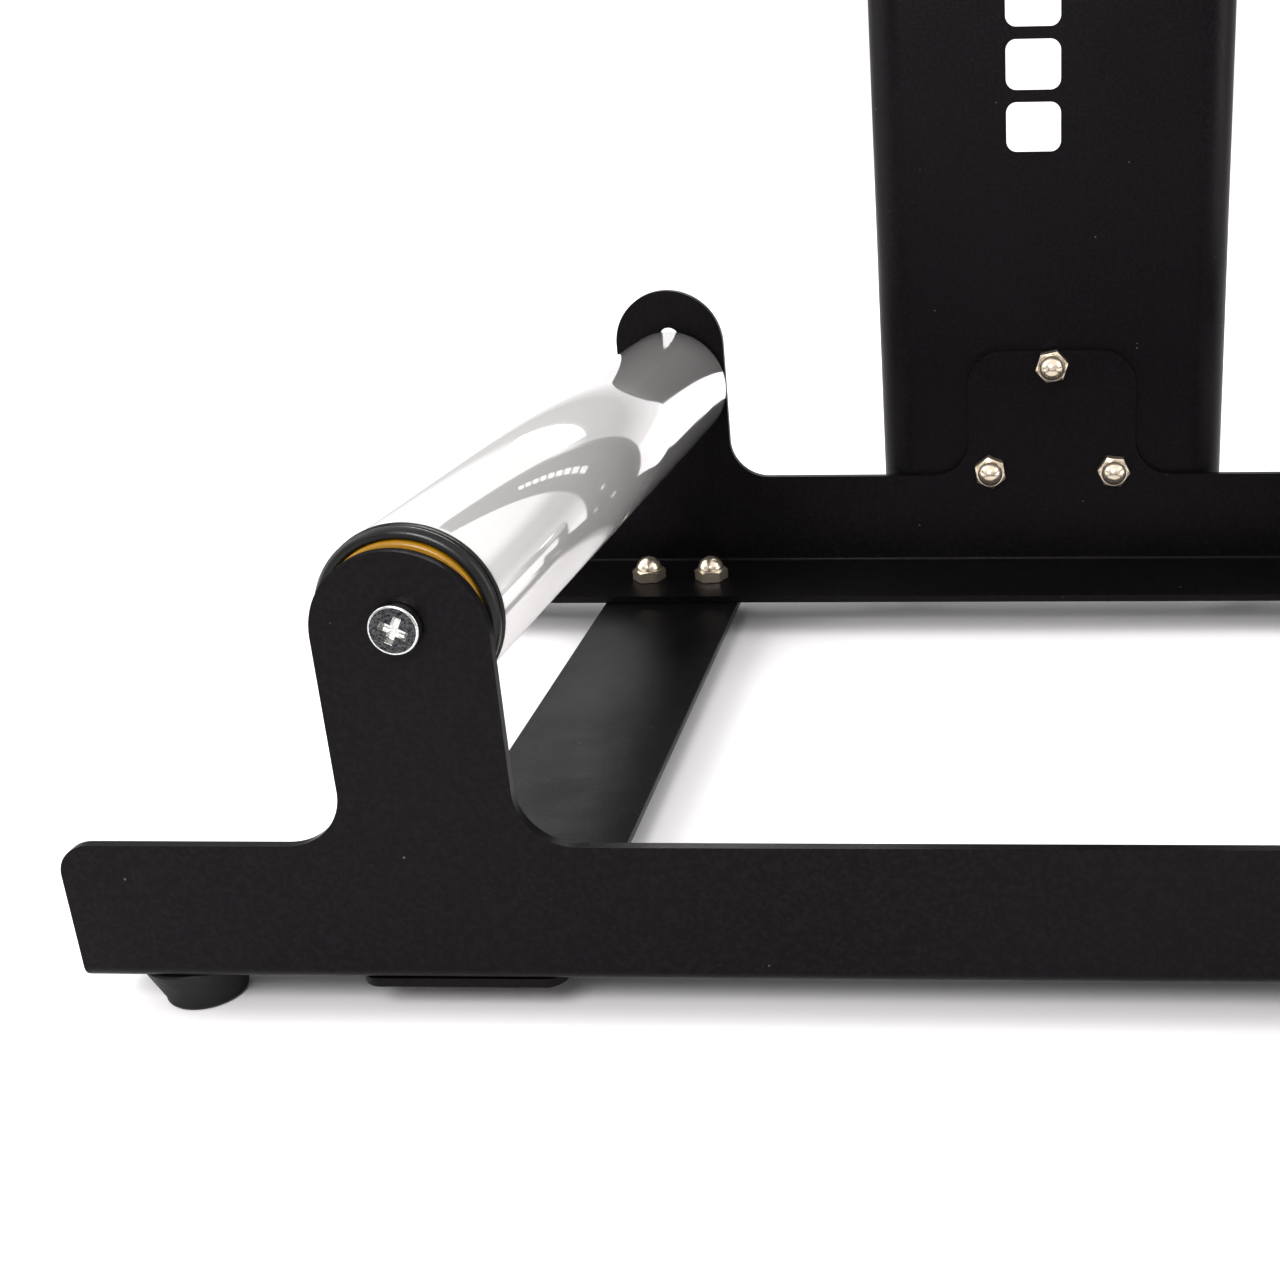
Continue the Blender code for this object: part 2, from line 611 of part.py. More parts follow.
def build_axle_screw(name, pivot, seat, turn_round):
    """A low round head with a cross recess, its underside at the seat and its shank inward."""
    low = -SCREW_HEAD_HEIGHT
    stem = [(0.0, SCREW_REACH), (THREAD_RADIUS - POINT, SCREW_REACH)]
    stem += [(THREAD_RADIUS, SCREW_REACH - POINT), (THREAD_RADIUS, 0.0), (SCREW_HEAD_RADIUS, 0.0)]
    rim_centre = (SCREW_HEAD_RADIUS - SCREW_ROUNDING, low + SCREW_ROUNDING)
    rim = arc(rim_centre, SCREW_ROUNDING, 0, -90, ARC_STEPS)
    blank = bpy.data.objects.new("blank", turned(stem + rim + [(0.0, low)]))
    CUTTERS.objects.link(blank)
    bars = [helper("bar", tapered_bar(turn, low)) for turn in RECESS_TURNS]
    for bar in bars:
        boolean(blank, bar, "DIFFERENCE")
    mesh = frozen(blank)
    for bar in bars:
        bpy.data.objects.remove(bar)
    mesh.transform(along_axle(seat, turn_round))
    place(name, mesh, "bright_zinc", pivot)


def build_roller(side, at_x, droop, far_screw):
    """A roller on its axle, hung from a pivot in the middle of the near ear's sheet."""
    pivot = bpy.data.objects.new(side + "_roller_pivot", None)
    CUTTERS.objects.link(pivot)
    pivot.location = (at_x, FRONT_Y + SHEET / 2, RAIL_BASE + AXLE_HEIGHT)
    pivot.rotation_euler = (-droop, 0.0, 0.0)
    far_ear = NEAR_EAR + EAR_SPAN
    far_start = far_ear - FAR_TUBE_END
    near_bearing = NEAR_EAR + CAP_START + CAP_WALL + GAP
    far_bearing = far_start - CAP_WALL - GAP
    build_tube(side, pivot)
    build_end_cap(side + "_near_cap", pivot, True, NEAR_EAR + CAP_START, False)
    build_end_cap(side + "_far_cap", pivot, False, far_start, True)
    build_bearing(side + "_near_bearing", pivot, near_bearing, False)
    build_bearing(side + "_far_bearing", pivot, far_bearing, True)
    build_ring(side, pivot)
    build_axle(side, pivot)
    seat = SHEET / 2 + AXLE_PLAY
    build_axle_screw(side + "_near_screw", pivot, -seat, False)
    if far_screw:
        build_axle_screw(side + "_far_screw", pivot, far_ear + SHEET + AXLE_PLAY, True)


def main():
    build_rail("near_rail", FRONT_Y, 1, False)
    build_rail("far_rail", FRONT_Y + RAIL_SPAN, -1, True)
    build_crossbar("left_crossbar", -CROSSBAR_X)
    build_crossbar("right_crossbar", CROSSBAR_X)
    build_post()
    build_post_cap()
    build_fasteners()
    build_feet()
    build_roller("left", -EAR_X, TILT, False)
    build_roller("right", EAR_X, 0.0, True)


clear_scene()
PARTS = new_collection("roller_stand", False)
CUTTERS = new_collection("cutters", True)
main()
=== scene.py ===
"""Looks for the roller stand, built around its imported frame. Metres, the frame's own axes."""
import json
import math

import bmesh
import bpy
from mathutils import Matrix, Vector


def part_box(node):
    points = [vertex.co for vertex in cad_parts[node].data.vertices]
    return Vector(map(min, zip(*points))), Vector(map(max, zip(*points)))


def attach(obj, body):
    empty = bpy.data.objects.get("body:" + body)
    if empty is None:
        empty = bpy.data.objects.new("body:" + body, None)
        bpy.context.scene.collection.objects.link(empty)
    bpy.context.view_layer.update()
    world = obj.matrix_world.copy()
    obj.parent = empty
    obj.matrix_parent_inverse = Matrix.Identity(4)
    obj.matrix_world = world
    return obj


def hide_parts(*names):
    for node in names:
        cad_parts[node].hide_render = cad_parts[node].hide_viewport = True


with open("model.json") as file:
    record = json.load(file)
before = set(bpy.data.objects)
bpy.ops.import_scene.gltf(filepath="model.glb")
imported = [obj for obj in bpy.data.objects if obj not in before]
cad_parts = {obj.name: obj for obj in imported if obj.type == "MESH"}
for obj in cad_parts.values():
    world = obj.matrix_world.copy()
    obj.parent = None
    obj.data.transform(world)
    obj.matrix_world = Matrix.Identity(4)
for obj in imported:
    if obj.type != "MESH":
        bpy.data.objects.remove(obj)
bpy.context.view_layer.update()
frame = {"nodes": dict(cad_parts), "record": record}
RECORD = frame["record"]
JOINTS = {joint["name"]: joint for joint in RECORD["behaviour"]["joints"]}

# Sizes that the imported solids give
NEAR_LOW, NEAR_HIGH = (Vector(corner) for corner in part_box("near_rail"))
FAR_HIGH = Vector(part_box("far_rail")[1])
POST_LOW, POST_HIGH = (Vector(corner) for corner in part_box("post"))
BAR_LOW, BAR_HIGH = (Vector(corner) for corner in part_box("right_crossbar"))
FOOT_LOW, FOOT_HIGH = (Vector(corner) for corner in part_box("near_right_foot"))
PIVOT = Vector(JOINTS["right_roller_spin"]["pos_m"])
DROOP_AXIS = Vector(JOINTS["left_roller_spin"]["axis"])
DROOP = math.atan2(-DROOP_AXIS.z, DROOP_AXIS.y)

FRONT_Y = NEAR_LOW.y
BACK_Y = FAR_HIGH.y
RAIL_BASE = NEAR_LOW.z
HALF_LENGTH = NEAR_HIGH.x
FLANGE_WIDTH = NEAR_HIGH.y - NEAR_LOW.y
EAR_X = PIVOT.x
AXLE_HEIGHT = PIVOT.z - RAIL_BASE
SHEET = 0.003
CUTTER = 4 * SHEET          # length of a cutter through one sheet
EAR_SPAN = BACK_Y - FRONT_Y - 2 * SHEET
NEAR_EAR = SHEET / 2
GAP = 0.0003

# Shapes that the solids share
WEB_HEIGHT = 0.044
RAIL_BEND = 0.0045
END_CORNER = 0.0095
FOOT_CORNER = 0.002
EAR_RADIUS = 0.0242
EAR_ARC_HEIGHT = NEAR_HIGH.z - RAIL_BASE - EAR_RADIUS
FILLET = 0.017
HOLE_RADIUS = 0.0044
FOOT_HOLE = 0.0033
TAB_HALF_WIDTH = 0.038
TAB_HEIGHT = 0.1018
TAB_CORNER = 0.016
POST_BEND = 0.016
BOLT_SPACING = 0.0565
LOW_BOLT_HEIGHT = 0.0465
FLANGE_BOLT_PITCH = 0.0288
FLANGE_BOLT_INSET = 0.028
CROSSBAR_CORNER = 0.006
NUT_FLATS = 0.013
NUT_CROWN = 0.0061          # radius of the flat left by the chamfer
CHAMFER_ANGLE = 30
NUT_HEX_HEIGHT = 0.005
NUT_HEIGHT = 0.0105
DOME_RADIUS = 0.0057
BOLT_HEAD_HEIGHT = 0.005
THREAD_RADIUS = 0.004
THREAD_BORE = 0.0043
SCREW_HEAD_RADIUS = 0.0069
SCREW_HEAD_HEIGHT = 0.003
SCREW_REACH = 0.019
SCREW_ROUND = 0.0007
RECESS_LENGTH = 0.0098
RECESS_WIDTH = 0.0028
RECESS_DEPTH = 0.0018
RECESS_TAPER = 0.6
RECESS_TURNS = (25, 115)
TUBE_RADIUS = 0.025
TUBE_WALL = 0.0015
TUBE_EDGE = 0.0004
NEAR_TUBE_END = 0.0085
FAR_TUBE_END = 0.003
AXLE_RADIUS = 0.006
AXLE_PLAY = 0.0008
AXLE_EDGE = 0.0005
THREAD_DEPTH = 0.020
DISC_RADIUS = 0.0218
CAP_START = 0.0019
CAP_WALL = 0.0031
CAP_HUB_LENGTH = 0.016
FAR_CAP_LIP = 0.002
CAP_RELIEF = 0.0006         # depth of the groove in a cap's face
RING_START = 0.0026
RING_RIM = 0.0254
RING_GROOVE = 0.0245
BEAD_CENTRE = 0.0230
BEAD_RADIUS = 0.0022
BEARING_RADIUS = 0.014
FOOT_LOW_RADIUS = 0.0114
FOOT_ROUND = 0.0013
FOOT_EDGE = 0.0006
FOOT_RECESS = 0.006
FLANGE_NUT_TURN = -20
POST_NUT_TURNS = (8, 25, 42)

EDGE = 0.0004               # rounding of a sheet's cut edges
ARC_STEPS = 16
ROUND_STEPS = 64
ROLLER_STEPS = 160

BAR_X = (BAR_LOW.x + BAR_HIGH.x) / 2
FOOT_X = (FOOT_LOW.x + FOOT_HIGH.x) / 2
FOOT_INSET = (FOOT_LOW.y + FOOT_HIGH.y) / 2 - FRONT_Y
FLANGE_TOP = RAIL_BASE + SHEET
TRIANGLE_HEIGHT = BOLT_SPACING * math.sqrt(3) / 2


# ---------------------------------------------------------------- materials

def shader_material(name, **sockets):
    """A Principled material with these socket values, and its node tree."""
    made = bpy.data.materials.new(name)
    made.use_nodes = True
    shader = made.node_tree.nodes["Principled BSDF"]
    for socket, value in sockets.items():
        shader.inputs[socket.replace("_", " ")].default_value = value
    return made, made.node_tree, shader


def add_node(tree, kind, **settings):
    node = tree.nodes.new(kind)
    for name, value in settings.items():
        if name in node.inputs:
            node.inputs[name].default_value = value
        else:
            setattr(node, name, value)
    return node


def noise(tree, scale, detail=4.0, stretch=(1.0, 1.0, 1.0), roughness=0.5):
    """Noise in the object's own coordinates, stretched along an axis where asked."""
    place = add_node(tree, "ShaderNodeTexCoord")
    mapping = add_node(tree, "ShaderNodeMapping")
    mapping.inputs["Scale"].default_value = stretch
    texture = add_node(tree, "ShaderNodeTexNoise", Scale=scale, Detail=detail, Roughness=roughness)
    tree.links.new(place.outputs["Object"], mapping.inputs["Vector"])
    tree.links.new(mapping.outputs["Vector"], texture.inputs["Vector"])
    return texture.outputs["Fac"]


def ramp(tree, value, low, high, start, end):
    """Maps a value between low and high onto start to end."""
    node = add_node(tree, "ShaderNodeMapRange")
    node.inputs["From Min"].default_value = low
    node.inputs["From Max"].default_value = high
    node.inputs["To Min"].default_value = start
    node.inputs["To Max"].default_value = end
    tree.links.new(value, node.inputs["Value"])
    return node.outputs["Result"]


def mix(tree, share, first, second):
    """A colour mix; each colour is a socket or a plain colour."""
    node = add_node(tree, "ShaderNodeMix", data_type="RGBA")
    tree.links.new(share, node.inputs["Factor"])
    for socket, colour in ((node.inputs[6], first), (node.inputs[7], second)):
        if isinstance(colour, bpy.types.NodeSocket):
            tree.links.new(colour, socket)
        else:
            socket.default_value = (*colour, 1.0)
    return node.outputs[2]


def multiply(tree, first, second):
    node = add_node(tree, "ShaderNodeMath", operation="MULTIPLY")
    tree.links.new(first, node.inputs[0])
    tree.links.new(second, node.inputs[1])
    return node.outputs[0]


def specks(tree, scale, size, share):
    """Small round spots, on this share of the cells."""
    place = add_node(tree, "ShaderNodeTexCoord")
    cells = add_node(tree, "ShaderNodeTexVoronoi", Scale=scale)
    tree.links.new(place.outputs["Object"], cells.inputs["Vector"])
    spot = ramp(tree, cells.outputs["Distance"], size, size * 0.6, 0.0, 1.0)
    pick = add_node(tree, "ShaderNodeSeparateColor")
    tree.links.new(cells.outputs["Color"], pick.inputs["Color"])
    chosen = ramp(tree, pick.outputs["Red"], share, share * 0.9, 0.0, 1.0)
    return multiply(tree, spot, chosen)


def bump(tree, shader, height, distance, strength=1.0):
    node = add_node(tree, "ShaderNodeBump", Distance=distance, Strength=strength)
    tree.links.new(height, node.inputs["Height"])
    tree.links.new(node.outputs["Normal"], shader.inputs["Normal"])


def powder_coat():
    made, tree, shader = shader_material("black_powder_coat", Specular_IOR_Level=0.13)
    shader.inputs["Specular Tint"].default_value = (1.0, 0.90, 0.98, 1.0)
    wide = ramp(tree, noise(tree, 9.0, 3.0), 0.35, 0.65, 0.0, 1.0)
    colour = mix(tree, wide, (0.0022, 0.0020, 0.0022), (0.0038, 0.0033, 0.0038))
    fine = ramp(tree, noise(tree, 700.0, 2.0), 0.40, 0.70, 0.0, 1.0)
    colour = mix(tree, fine, colour, (0.0070, 0.0063, 0.0070))
    colour = mix(tree, specks(tree, 210.0, 0.10, 0.035), colour, (0.09, 0.085, 0.085))
    scuffs = ramp(tree, noise(tree, 60.0, 6.0, (1.0, 4.0, 9.0), 0.75), 0.71, 0.75, 0.0, 0.35)
    colour = mix(tree, scuffs, colour, (0.20, 0.19, 0.19))
    tree.links.new(colour, shader.inputs["Base Color"])
    rough = ramp(tree, noise(tree, 35.0, 5.0), 0.3, 0.7, 0.30, 0.42)
    tree.links.new(rough, shader.inputs["Roughness"])
    bump(tree, shader, noise(tree, 1100.0, 3.0), 0.00022, 0.35)
    return made


def chrome():
    made, tree, shader = shader_material("chromed_tube", Metallic=0.5, IOR=1.6)
    colour = mix(tree, noise(tree, 14.0, 2.0), (0.67, 0.66, 0.65), (0.60, 0.59, 0.58))
    tree.links.new(colour, shader.inputs["Base Color"])
    smears = ramp(tree, noise(tree, 30.0, 6.0, (1.0, 0.15, 1.0), 0.7), 0.45, 0.75, 0.03, 0.08)
    tree.links.new(smears, shader.inputs["Roughness"])
    bump(tree, shader, noise(tree, 45.0, 2.0, (1.0, 0.2, 1.0)), 0.0001, 0.10)
    return made


def nickel():
    made, tree, shader = shader_material("nickel_fastener", Metallic=0.85)
    colour = mix(tree, noise(tree, 180.0, 3.0), (0.84, 0.74, 0.60), (0.62, 0.54, 0.43))
    tree.links.new(colour, shader.inputs["Base Color"])
    rough = ramp(tree, noise(tree, 500.0, 3.0), 0.3, 0.7, 0.12, 0.26)
    tree.links.new(rough, shader.inputs["Roughness"])
    bump(tree, shader, noise(tree, 420.0, 3.0), 0.00008, 0.25)
    return made


def zinc(name, dark, light, low_rough, high_rough, relief):
    made, tree, shader = shader_material(name, Metallic=1.0)
    grain = ramp(tree, noise(tree, 1500.0, 4.0), 0.35, 0.65, 0.0, 1.0)
    colour = mix(tree, grain, dark, light)
    tree.links.new(colour, shader.inputs["Base Color"])
    rough = ramp(tree, noise(tree, 700.0, 3.0), 0.3, 0.7, low_rough, high_rough)
    tree.links.new(rough, shader.inputs["Roughness"])
    bump(tree, shader, noise(tree, 1300.0, 4.0), relief, 0.8)
    return made


def amber():
    made, tree, shader = shader_material("amber_cap", IOR=1.5, Subsurface_Weight=0.08)
    shader.inputs["Subsurface Radius"].default_value = (0.004, 0.002, 0.0005)
    colour = mix(tree, noise(tree, 120.0, 3.0), (0.34, 0.178, 0.001), (0.24, 0.122, 0.001))
    tree.links.new(colour, shader.inputs["Base Color"])
    rough = ramp(tree, noise(tree, 300.0, 3.0), 0.3, 0.7, 0.25, 0.42)
    tree.links.new(rough, shader.inputs["Roughness"])
    bump(tree, shader, noise(tree, 600.0, 2.0), 0.0001, 0.15)
    return made


def rubber(name, dark, light, low_rough, high_rough):
    made, tree, shader = shader_material(name, IOR=1.5, Specular_IOR_Level=0.3)
    colour = mix(tree, noise(tree, 90.0, 5.0), dark, light)
    colour = mix(tree, specks(tree, 420.0, 0.12, 0.06), colour, (0.10, 0.10, 0.10))
    tree.links.new(colour, shader.inputs["Base Color"])
    rough = ramp(tree, noise(tree, 150.0, 4.0), 0.3, 0.7, low_rough, high_rough)
    tree.links.new(rough, shader.inputs["Roughness"])
    bump(tree, shader, noise(tree, 900.0, 3.0), 0.0001, 0.3)
    return made


def white_print():
    made, tree, shader = shader_material("white_print", IOR=1.45)
    worn = ramp(tree, noise(tree, 260.0, 6.0, roughness=0.7), 0.66, 0.72, 0.0, 0.5)
    colour = mix(tree, worn, (0.86, 0.86, 0.86), (0.45, 0.45, 0.45))
    tree.links.new(colour, shader.inputs["Base Color"])
    rough = ramp(tree, noise(tree, 200.0, 3.0), 0.3, 0.7, 0.35, 0.5)
    tree.links.new(rough, shader.inputs["Roughness"])
    return made


MATERIALS = {
    "black_powder_coat": powder_coat(),
    "chromed_tube": chrome(),
    "nickel_fastener": nickel(),
    "bright_zinc": zinc(
        "bright_zinc", (0.46, 0.47, 0.45), (0.66, 0.67, 0.65), 0.12, 0.28, 0.00003),
    # A darker copy of the zinc for the screws' flat faces: painted shade for the dark reflection
    # on them.
    "shaded_screw_face": zinc(
        "shaded_screw_face", (0.018, 0.018, 0.019), (0.11, 0.11, 0.115), 0.20, 0.34, 0.00008),
    "bearing_steel": zinc(
        "bearing_steel", (0.45, 0.45, 0.46), (0.60, 0.60, 0.61), 0.20, 0.32, 0.00003),
    "amber_cap": amber(),
    "black_ring": rubber(
        "black_ring", (0.008, 0.008, 0.008), (0.018, 0.017, 0.016), 0.20, 0.36),
    "rubber_foot": rubber(
        "rubber_foot", (0.004, 0.004, 0.004), (0.010, 0.010, 0.010), 0.45, 0.65),
    "white_print": white_print(),
}


# ---------------------------------------------------------------- shapes

def arc(centre, radius, start, end, steps=ARC_STEPS):
    """Points along an arc, both ends included; angles in degrees."""
    points = []
    for step in range(steps + 1):
        angle = math.radians(start + (end - start) * step / steps)
        points.append((centre[0] + radius * math.cos(angle), centre[1] + radius * math.sin(angle)))
    return points


def rounded_rectangle(half_width, half_height, corner):
    """An outline; the half sizes are to the corners' centres."""
    outline = []
    for quarter, (side, rise) in enumerate(((1, 1), (-1, 1), (-1, -1), (1, -1))):
        centre = (side * half_width, rise * half_height)
        outline += arc(centre, corner, 90 * quarter, 90 * (quarter + 1))
    return outline


def plate(outline, thickness, matrix):
    """A flat outline, extruded both ways from its own XY plane and then moved by matrix."""
    work = bmesh.new()
    rim = [work.verts.new((across, along, -thickness / 2)) for across, along in outline]
    face = work.faces.new(rim)
    made = bmesh.ops.extrude_face_region(work, geom=[face])
    top = [item for item in made["geom"] if isinstance(item, bmesh.types.BMVert)]
    bmesh.ops.translate(work, verts=top, vec=(0.0, 0.0, thickness))
    bmesh.ops.transform(work, verts=work.verts, matrix=matrix)
    return finished_mesh(work)


def finished_mesh(work):
    """A mesh from the bmesh, with doubles merged and normals outward."""
    bmesh.ops.remove_doubles(work, verts=work.verts, dist=0.000001)
    bmesh.ops.recalc_face_normals(work, faces=work.faces)
    mesh = bpy.data.meshes.new("shape")
    work.to_mesh(mesh)
    work.free()
    return mesh


def turned(profile, steps=ROUND_STEPS):
    """A turned solid about Z from (radius, height) points."""
    work = bmesh.new()
    rim = [work.verts.new((radius, 0.0, height)) for radius, height in profile]
    edges = [work.edges.new(pair) for pair in zip(rim, rim[1:])]
    if profile[0][0] > 0.0:
        edges.append(work.edges.new((rim[-1], rim[0])))
    bmesh.ops.spin(work, geom=rim + edges, cent=(0, 0, 0), axis=(0, 0, 1), angle=2 * math.pi,
                   steps=steps, use_merge=True)
    return finished_mesh(work)


def cylinders(places, radius, length, axis, steps=ROUND_STEPS):
    """Equal cylinders in one mesh, each centred on its place, along Z or Y."""
    turn = {"Z": Matrix(), "Y": Matrix.Rotation(math.pi / 2, 4, "X")}[axis]
    work = bmesh.new()
    for spot in places:
        bmesh.ops.create_cone(work, cap_ends=True, segments=steps, radius1=radius, radius2=radius,
                              depth=length, matrix=Matrix.Translation(spot) @ turn)
    return finished_mesh(work)


def hexagon(height, base):
    corner = NUT_FLATS / math.sqrt(3)
    work = bmesh.new()
    bmesh.ops.create_cone(work, cap_ends=True, segments=6, radius1=corner, radius2=corner,
                          depth=height, matrix=Matrix.Translation((0.0, 0.0, base + height / 2)))
    return finished_mesh(work)


def cut(mesh, *steps):
    """The mesh after Boolean steps, each an operation and a second mesh."""
    target = bpy.data.objects.new("target", mesh)
    bpy.context.scene.collection.objects.link(target)
    helpers = []
    for operation, other in steps:
        tool = bpy.data.objects.new("tool", other)
        bpy.context.scene.collection.objects.link(tool)
        helpers.append(tool)
        modifier = target.modifiers.new(operation, "BOOLEAN")
        modifier.operation = operation
        modifier.solver = "EXACT"
        modifier.object = tool
    bpy.context.view_layer.update()
    shaped = target.evaluated_get(bpy.context.evaluated_depsgraph_get())
    result = bpy.data.meshes.new_from_object(shaped)
    for item in [target, *helpers]:
        bpy.data.objects.remove(item)
    return result


def piece(name, mesh, slot, body, node=None, edge=0.0, angle=30.0, faces_material=None):
    """A finished piece on a body, in place of a CAD node where one is named."""
    mesh.materials.clear()
    mesh.materials.append(MATERIALS[faces_material or slot])
    for polygon in mesh.polygons:
        polygon.use_smooth = True
    made = bpy.data.objects.new(name, mesh)
    bpy.context.scene.collection.objects.link(made)
    if edge:
        bevel = made.modifiers.new("Edges", "BEVEL")
        bevel.width = edge
        bevel.segments = 2
        bevel.limit_method = "ANGLE"
        bevel.angle_limit = math.radians(angle)
        bevel.harden_normals = True
        bevel.use_clamp_overlap = True
    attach(made, body)
    if node:
        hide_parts(node)
    return made


def refinish(node, material):
    """Gives a CAD node that stays one of the materials above."""
    slots = frame["nodes"][node].data.materials
    slots.clear()
    slots.append(MATERIALS[material])


def upright(middle):
    """Turns an outline's second coordinate up Z and puts its mid-plane at this Y."""
    return Matrix.Translation((0.0, middle, 0.0)) @ Matrix.Rotation(math.pi / 2, 4, "X")


# ---------------------------------------------------------------- folded sheet

def rail_outline(has_tab):
    step = WEB_HEIGHT + FILLET
    right = arc((HALF_LENGTH - FOOT_CORNER, FOOT_CORNER), FOOT_CORNER, -90, 0)
    right += arc((HALF_LENGTH - END_CORNER, WEB_HEIGHT - END_CORNER), END_CORNER, 0, 90)
    right += arc((EAR_X + EAR_RADIUS + FILLET, step), FILLET, -90, -180)
    right += arc((EAR_X, EAR_ARC_HEIGHT), EAR_RADIUS, 0, 180, 4 * ARC_STEPS)
    right += arc((EAR_X - EAR_RADIUS - FILLET, step), FILLET, 0, -90)
    if has_tab:
        right += arc((TAB_HALF_WIDTH + FILLET, step), FILLET, -90, -180)
        right += arc((TAB_HALF_WIDTH - TAB_CORNER, TAB_HEIGHT - TAB_CORNER), TAB_CORNER, 0, 90)
    left = [(-across, height) for across, height in reversed(right)]
    return right + left


def angle_outline():
    top = EAR_ARC_HEIGHT + 2 * EAR_RADIUS
    bend = (RAIL_BEND, RAIL_BEND)
    section = [(0.0, top)]
    section += arc(bend, RAIL_BEND, 180, 270)
    section += [(FLANGE_WIDTH, 0.0), (FLANGE_WIDTH, SHEET)]
    section += arc(bend, RAIL_BEND - SHEET, 270, 180)
    section += [(SHEET, top)]
    return section


def flange_bolt_places(at_y, at_z):
    places = []
    for side in (-1, 1):
        for shift in (-0.5, 0.5):
            places.append((side * BAR_X + shift * FLANGE_BOLT_PITCH, at_y, at_z))
    return places


def post_bolt_places(at_y):
    low = RAIL_BASE + LOW_BOLT_HEIGHT
    half = BOLT_SPACING / 2
    return [(-half, at_y, low), (half, at_y, low), (0.0, at_y, low + TRIANGLE_HEIGHT)]


def make_rail(node, face_y, inward, has_tab):
    along_x = Matrix(((0, 0, 1, 0), (inward, 0, 0, face_y), (0, 1, 0, RAIL_BASE), (0, 0, 0, 1)))
    section = plate(angle_outline(), 2 * HALF_LENGTH + 2 * SHEET, along_x)
    lift = Matrix.Translation((0.0, 0.0, RAIL_BASE))
    middle = face_y + inward * FLANGE_WIDTH / 2
    front = plate(rail_outline(has_tab), FLANGE_WIDTH + 2 * SHEET, lift @ upright(middle))
    ears = [(side * EAR_X, face_y, RAIL_BASE + AXLE_HEIGHT) for side in (-1, 1)]
    feet = [(side * FOOT_X, face_y + inward * FOOT_INSET, RAIL_BASE) for side in (-1, 1)]
    bolts = flange_bolt_places(face_y + inward * FLANGE_BOLT_INSET, RAIL_BASE)
    reach = 4 * RAIL_BEND
    steps = [("INTERSECT", front), ("DIFFERENCE", cylinders(ears, HOLE_RADIUS, reach, "Y"))]
    steps.append(("DIFFERENCE", cylinders(feet, FOOT_HOLE, reach, "Z")))
    steps.append(("DIFFERENCE", cylinders(bolts, HOLE_RADIUS, reach, "Z")))
    if has_tab:
        tab = cylinders(post_bolt_places(face_y), HOLE_RADIUS, CUTTER, "Y")
        steps.append(("DIFFERENCE", tab))
    piece(node + "_sheet", cut(section, *steps), "black_powder_coat", "frame", node, EDGE)


def make_crossbar(node, side):
    half_width = (BAR_HIGH.x - BAR_LOW.x) / 2 - CROSSBAR_CORNER
    half_length = (BAR_HIGH.y - BAR_LOW.y) / 2 - CROSSBAR_CORNER
    outline = rounded_rectangle(half_width, half_length, CROSSBAR_CORNER)
    middle = (BAR_LOW + BAR_HIGH) / 2
    middle.x *= side
    bar = plate(outline, SHEET, Matrix.Translation(middle))
    places = []
    for at_y in (FRONT_Y + FLANGE_BOLT_INSET, BACK_Y - FLANGE_BOLT_INSET):
        for shift in (-0.5, 0.5):
            places.append((middle.x + shift * FLANGE_BOLT_PITCH, at_y, middle.z))
    bar = cut(bar, ("DIFFERENCE", cylinders(places, HOLE_RADIUS, CUTTER, "Z")))
    piece(node + "_sheet", bar, "black_powder_coat", "frame", node, EDGE)


def channel_outline():
    half = POST_HIGH.x
    depth = POST_HIGH.y - POST_LOW.y
    right = arc((half - POST_BEND, POST_BEND), POST_BEND, -90, 0)
    right += [(half, depth), (half - SHEET, depth)]
    right += arc((half - POST_BEND, POST_BEND), POST_BEND - SHEET, 0, -90)
    left = [(-across, along) for across, along in reversed(right)]
    return right + left


def make_post():
    height = POST_HIGH.z - POST_LOW.z
    centre = Matrix.Translation((0.0, POST_LOW.y, POST_LOW.z + height / 2))
    holes = cylinders(post_bolt_places(POST_LOW.y), HOLE_RADIUS, CUTTER, "Y")
    sheet = cut(plate(channel_outline(), height, centre), ("DIFFERENCE", holes))
    piece("post_sheet", sheet, "black_powder_coat", "frame", "post", EDGE)


def cap_outline(inset):
    half = POST_HIGH.x - inset
    bend = POST_BEND - inset
    depth = POST_HIGH.y - POST_LOW.y
    right = arc((POST_HIGH.x - POST_BEND, POST_BEND), bend, -90, 0) + [(half, depth)]
    return right + [(-across, along) for across, along in reversed(right)]


def make_post_cap():
    low, high = (Vector(corner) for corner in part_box("post_cap"))
    lid_place = Matrix.Translation((0.0, POST_LOW.y, high.z - SHEET / 2))
    lid = plate(cap_outline(0.0), SHEET, lid_place)
    reach = high.z - SHEET - low.z
    plug_place = Matrix.Translation((0.0, POST_LOW.y, low.z + (reach + SHEET / 2) / 2))
    plug = plate(cap_outline(SHEET + GAP), reach + SHEET / 2, plug_place)
    hollow_place = Matrix.Translation((0.0, POST_LOW.y, low.z + reach / 2 - SHEET))
    hollow = plate(cap_outline(2 * SHEET + GAP), reach, hollow_place)
    cap = cut(lid, ("UNION", plug), ("DIFFERENCE", hollow))
    piece("post_cap_lid", cap, "black_powder_coat", "frame", "post_cap", EDGE)


# ---------------------------------------------------------------- fasteners and feet

def chamfered_hexagon(height, base):
    corner = NUT_FLATS / math.sqrt(3)
    drop = (corner - NUT_CROWN) * math.tan(math.radians(CHAMFER_ANGLE))
    top = base + height
    clear = corner * 1.01
    envelope = [(0.0, top), (NUT_CROWN, top), (clear, top - drop), (clear, base - SHEET)]
    envelope.append((0.0, base - SHEET))
    return cut(hexagon(height, base), ("INTERSECT", turned(envelope)))


